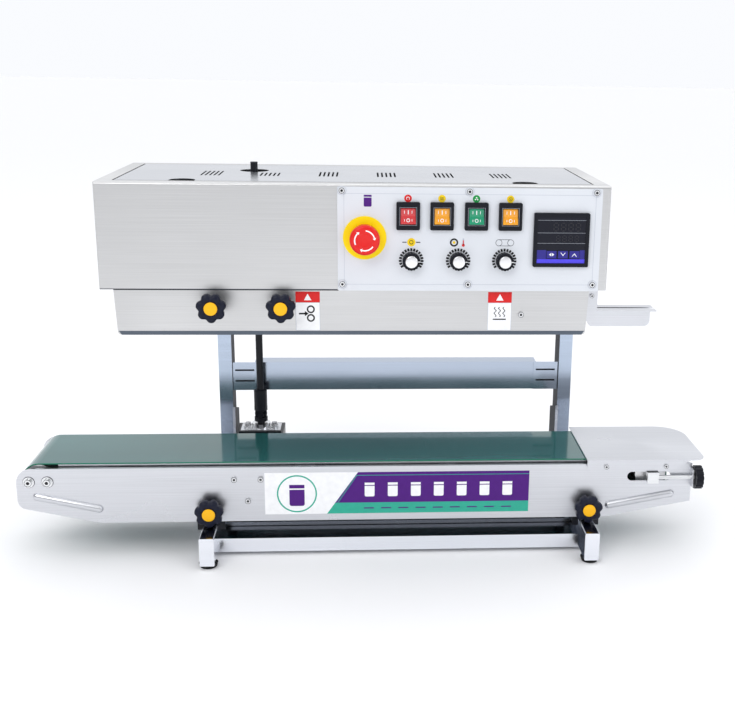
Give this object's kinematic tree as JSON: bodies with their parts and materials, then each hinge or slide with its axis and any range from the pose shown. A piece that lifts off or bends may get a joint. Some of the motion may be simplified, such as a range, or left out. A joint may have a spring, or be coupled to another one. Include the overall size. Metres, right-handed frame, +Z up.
{
  "type": "continuous band sealer",
  "caption": "Benchtop continuous band sealer with an upright sealing head, control panel and a height-adjustable green belt conveyor for standing bags.",
  "frame": {"origin": "on the floor under the middle of the machine's overall box", "axes": "+X along the conveyor from the discharge end to the infeed end, +Y from the control panel to the back, +Z up"},
  "size_m": [0.9479, 0.356, 0.5225],
  "materials": {
    "steel_brushed": "brushed stainless sheet, fine horizontal grain",
    "steel_bright": "bright plated steel",
    "steel_dark": "satin black paint",
    "machined_steel": "machined steel",
    "panel_white": "white powder coat, satin",
    "belt_green": "glossy dark green PVC belt",
    "seal_belt_brown": "PTFE coated glass cloth",
    "rubber_black": "matte black rubber",
    "rubber_grey": "vulcanised rubber",
    "plastic_navy": "moulded phenolic, satin",
    "plastic_black": "moulded black plastic",
    "plastic_red": "glossy red plastic",
    "plastic_yellow": "yellow legend disc",
    "lens_red": "translucent red switch",
    "lens_amber": "translucent amber switch",
    "lens_green": "translucent green switch",
    "key_blue": "soft keys on a blue strip",
    "copper": "copper heating bars",
    "aluminium": "milled aluminium",
    "motor_grey": "grey enamel"
  },
  "bodies": {
    "frame": {"base_frame": "steel_bright", "rubber_feet": "rubber_black", "cross_panel": "steel_bright", "height_brackets": "steel_dark", "head_casing": "steel_brushed", "base_plate": "machined_steel", "lower_guards": "steel_brushed", "infeed_guides": "steel_brushed", "control_panel": "panel_white", "estop_collar": "plastic_yellow", "switch_bezels": "plastic_black", "temperature_controller": "plastic_black", "casing_screws": "machined_steel", "gear_motor": "motor_grey", "heating_blocks": "copper", "cooling_blocks": "aluminium", "seal_belts": "seal_belt_brown", "fan_housing": "plastic_black", "power_supply": "motor_grey", "cable_gland": "plastic_black"},
    "conveyor": {"front_side_plate": "steel_brushed", "rear_side_plate": "steel_brushed", "bed_plate": "steel_brushed", "conveyor_belt": "belt_green", "end_cover": "steel_brushed", "shaft_bridge": "steel_dark", "conveyor_screws": "machined_steel"},
    "lid": {"lid": "steel_brushed"},
    "estop_button": {"estop_button": "plastic_red"},
    "power_rocker": {"power_rocker": "lens_red"},
    "heating_rocker": {"heating_rocker": "lens_amber"},
    "fan_rocker": {"fan_rocker": "lens_green"},
    "coder_rocker": {"coder_rocker": "lens_amber"},
    "position_dial": {"position_dial": "plastic_black"},
    "coder_heat_dial": {"coder_heat_dial": "plastic_black"},
    "speed_dial": {"speed_dial": "plastic_black"},
    "set_key": {"set_key": "key_blue"},
    "down_key": {"down_key": "key_blue"},
    "up_key": {"up_key": "key_blue"},
    "left_pressure_knob": {"left_pressure_knob": "plastic_navy"},
    "right_pressure_knob": {"right_pressure_knob": "plastic_navy"},
    "left_clamp_knob": {"left_clamp_knob": "plastic_navy"},
    "right_clamp_knob": {"right_clamp_knob": "plastic_navy"},
    "front_tension_knob": {"front_tension_knob": "plastic_black"},
    "rear_tension_knob": {"rear_tension_knob": "plastic_black"},
    "tensioner": {"tail_axle": "machined_steel"},
    "tail_roller": {"tail_roller": "aluminium"},
    "head_roller": {"head_roller": "aluminium"},
    "drive_roller": {"drive_roller": "rubber_grey"},
    "shaft_assembly": {"drive_shaft": "steel_dark", "universal_joint": "steel_dark"},
    "rear_spindle": {"rear_drive_spindle": "machined_steel"},
    "front_spindle": {"front_drive_spindle": "machined_steel"},
    "shaft_gear": {"shaft_gear": "machined_steel"},
    "front_idle_pulley": {"front_idle_pulley": "aluminium"},
    "rear_idle_pulley": {"rear_idle_pulley": "aluminium"},
    "press_wheel": {"press_wheel": "rubber_grey"},
    "press_anvil": {"press_anvil": "rubber_grey"},
    "coder_wheel": {"coder_wheel": "machined_steel"},
    "fan_rotor": {"fan_rotor": "plastic_black"}
  },
  "joints": [
    {"name": "conveyor_lift", "type": "slide", "parent": "frame", "child": "conveyor", "axis": [0, 0, 1], "range_m": [0, 0.045]},
    {"name": "lid_hinge", "type": "hinge", "parent": "frame", "child": "lid", "pos_m": [0, 0.156, 0.5095], "axis": [-1, 0, 0], "range_deg": [0, 100]},
    {"name": "estop_push", "type": "slide", "parent": "frame", "child": "estop_button", "axis": [0, 1, 0], "range_m": [0, 0.004]},
    {"name": "power_switch", "type": "hinge", "parent": "frame", "child": "power_rocker", "pos_m": [0.0535, -0.0967, 0.4688], "axis": [1, 0, 0], "range_deg": [0, 16]},
    {"name": "heating_switch", "type": "hinge", "parent": "frame", "child": "heating_rocker", "pos_m": [0.0985, -0.0967, 0.4688], "axis": [1, 0, 0], "range_deg": [0, 16]},
    {"name": "fan_switch", "type": "hinge", "parent": "frame", "child": "fan_rocker", "pos_m": [0.1445, -0.0967, 0.4688], "axis": [1, 0, 0], "range_deg": [0, 16]},
    {"name": "coder_switch", "type": "hinge", "parent": "frame", "child": "coder_rocker", "pos_m": [0.19, -0.0967, 0.4688], "axis": [1, 0, 0], "range_deg": [0, 16]},
    {"name": "position_dial_turn", "type": "hinge", "parent": "frame", "child": "position_dial", "pos_m": [0.0581, -0.0947, 0.409], "axis": [0, 1, 0], "range_deg": [-150, 150]},
    {"name": "coder_heat_dial_turn", "type": "hinge", "parent": "frame", "child": "coder_heat_dial", "pos_m": [0.1213, -0.0947, 0.409], "axis": [0, 1, 0], "range_deg": [-150, 150]},
    {"name": "speed_dial_turn", "type": "hinge", "parent": "frame", "child": "speed_dial", "pos_m": [0.1837, -0.0947, 0.409], "axis": [0, 1, 0], "range_deg": [-150, 150]},
    {"name": "set_key_press", "type": "slide", "parent": "frame", "child": "set_key", "axis": [0, 1, 0], "range_m": [0, 0.0006], "stiffness_N_per_m": 800},
    {"name": "down_key_press", "type": "slide", "parent": "frame", "child": "down_key", "axis": [0, 1, 0], "range_m": [0, 0.0006], "stiffness_N_per_m": 800},
    {"name": "up_key_press", "type": "slide", "parent": "frame", "child": "up_key", "axis": [0, 1, 0], "range_m": [0, 0.0006], "stiffness_N_per_m": 800},
    {"name": "left_pressure_turn", "type": "hinge", "parent": "frame", "child": "left_pressure_knob", "pos_m": [-0.206, -0.1, 0.3485], "axis": [0, -1, 0], "range_deg": [-720, 720]},
    {"name": "right_pressure_turn", "type": "hinge", "parent": "frame", "child": "right_pressure_knob", "pos_m": [-0.115, -0.1, 0.3485], "axis": [0, -1, 0], "range_deg": [-720, 720]},
    {"name": "left_clamp_turn", "type": "hinge", "parent": "conveyor", "child": "left_clamp_knob", "pos_m": [-0.2165, -0.14, 0.0665], "axis": [0, -1, 0], "range_deg": [0, 720]},
    {"name": "right_clamp_turn", "type": "hinge", "parent": "conveyor", "child": "right_clamp_knob", "pos_m": [0.3075, -0.14, 0.0665], "axis": [0, -1, 0], "range_deg": [0, 720]},
    {"name": "tension_slide", "type": "slide", "parent": "conveyor", "child": "tensioner", "axis": [1, 0, 0], "range_m": [-0.008, 0]},
    {"name": "front_tension_turn", "type": "hinge", "parent": "conveyor", "child": "front_tension_knob", "pos_m": [0.44, -0.131, 0.1089], "axis": [1, 0, 0], "range_deg": [-2400, 0]},
    {"name": "rear_tension_turn", "type": "hinge", "parent": "conveyor", "child": "rear_tension_knob", "pos_m": [0.44, 0.014, 0.1089], "axis": [1, 0, 0], "range_deg": [-2400, 0]},
    {"name": "rear_spindle_spin", "type": "hinge", "parent": "frame", "child": "rear_spindle", "pos_m": [-0.163, -0.0094, 0.34], "axis": [0, 0, 1], "continuous": true},
    {"name": "front_spindle_spin", "type": "hinge", "parent": "frame", "child": "front_spindle", "pos_m": [-0.163, -0.0566, 0.34], "axis": [0, 0, 1], "continuous": true},
    {"name": "shaft_gear_spin", "type": "hinge", "parent": "frame", "child": "shaft_gear", "pos_m": [-0.163, 0.0693, 0.38], "axis": [0, 0, 1], "continuous": true},
    {"name": "shaft_spin", "type": "hinge", "parent": "conveyor", "child": "shaft_assembly", "pos_m": [-0.163, 0.0693, 0.2], "axis": [0, 0, 1], "continuous": true},
    {"name": "drive_roller_spin", "type": "hinge", "parent": "conveyor", "child": "drive_roller", "pos_m": [-0.163, -0.06, 0.0992], "axis": [0, 1, 0], "continuous": true},
    {"name": "head_roller_spin", "type": "hinge", "parent": "conveyor", "child": "head_roller", "pos_m": [-0.445, -0.06, 0.1089], "axis": [0, 1, 0], "continuous": true},
    {"name": "tail_roller_spin", "type": "hinge", "parent": "tensioner", "child": "tail_roller", "pos_m": [0.3985, -0.06, 0.1089], "axis": [0, 1, 0], "continuous": true},
    {"name": "front_idle_spin", "type": "hinge", "parent": "frame", "child": "front_idle_pulley", "pos_m": [0.26, -0.0566, 0.334], "axis": [0, 0, 1], "continuous": true},
    {"name": "rear_idle_spin", "type": "hinge", "parent": "frame", "child": "rear_idle_pulley", "pos_m": [0.26, -0.0094, 0.334], "axis": [0, 0, 1], "continuous": true},
    {"name": "press_wheel_spin", "type": "hinge", "parent": "frame", "child": "press_wheel", "pos_m": [-0.115, -0.0486, 0.334], "axis": [0, 0, 1], "continuous": true},
    {"name": "press_anvil_spin", "type": "hinge", "parent": "frame", "child": "press_anvil", "pos_m": [-0.115, -0.0174, 0.334], "axis": [0, 0, 1], "continuous": true},
    {"name": "coder_wheel_spin", "type": "hinge", "parent": "frame", "child": "coder_wheel", "pos_m": [-0.2065, -0.0483, 0.334], "axis": [0, 0, 1], "continuous": true},
    {"name": "fan_spin", "type": "hinge", "parent": "frame", "child": "fan_rotor", "pos_m": [0.095, 0.161, 0.43], "axis": [0, 1, 0], "continuous": true}
  ],
  "couplings": [
    {"joint": "front_spindle_spin", "follows": "rear_spindle_spin", "ratio": -1},
    {"joint": "shaft_gear_spin", "follows": "rear_spindle_spin", "ratio": -0.42857},
    {"joint": "shaft_spin", "follows": "rear_spindle_spin", "ratio": -0.42857},
    {"joint": "drive_roller_spin", "follows": "rear_spindle_spin", "ratio": 0.42857},
    {"joint": "head_roller_spin", "follows": "rear_spindle_spin", "ratio": 0.237},
    {"joint": "tail_roller_spin", "follows": "rear_spindle_spin", "ratio": 0.237},
    {"joint": "front_idle_spin", "follows": "rear_spindle_spin", "ratio": -1},
    {"joint": "rear_idle_spin", "follows": "rear_spindle_spin", "ratio": 1},
    {"joint": "press_wheel_spin", "follows": "rear_spindle_spin", "ratio": -1.5714},
    {"joint": "press_anvil_spin", "follows": "rear_spindle_spin", "ratio": 1.5714},
    {"joint": "coder_wheel_spin", "follows": "rear_spindle_spin", "ratio": -1.4667},
    {"joint": "front_tension_turn", "follows": "tension_slide", "rad_per_m": 5026.5},
    {"joint": "rear_tension_turn", "follows": "tension_slide", "rad_per_m": 5026.5}
  ]
}
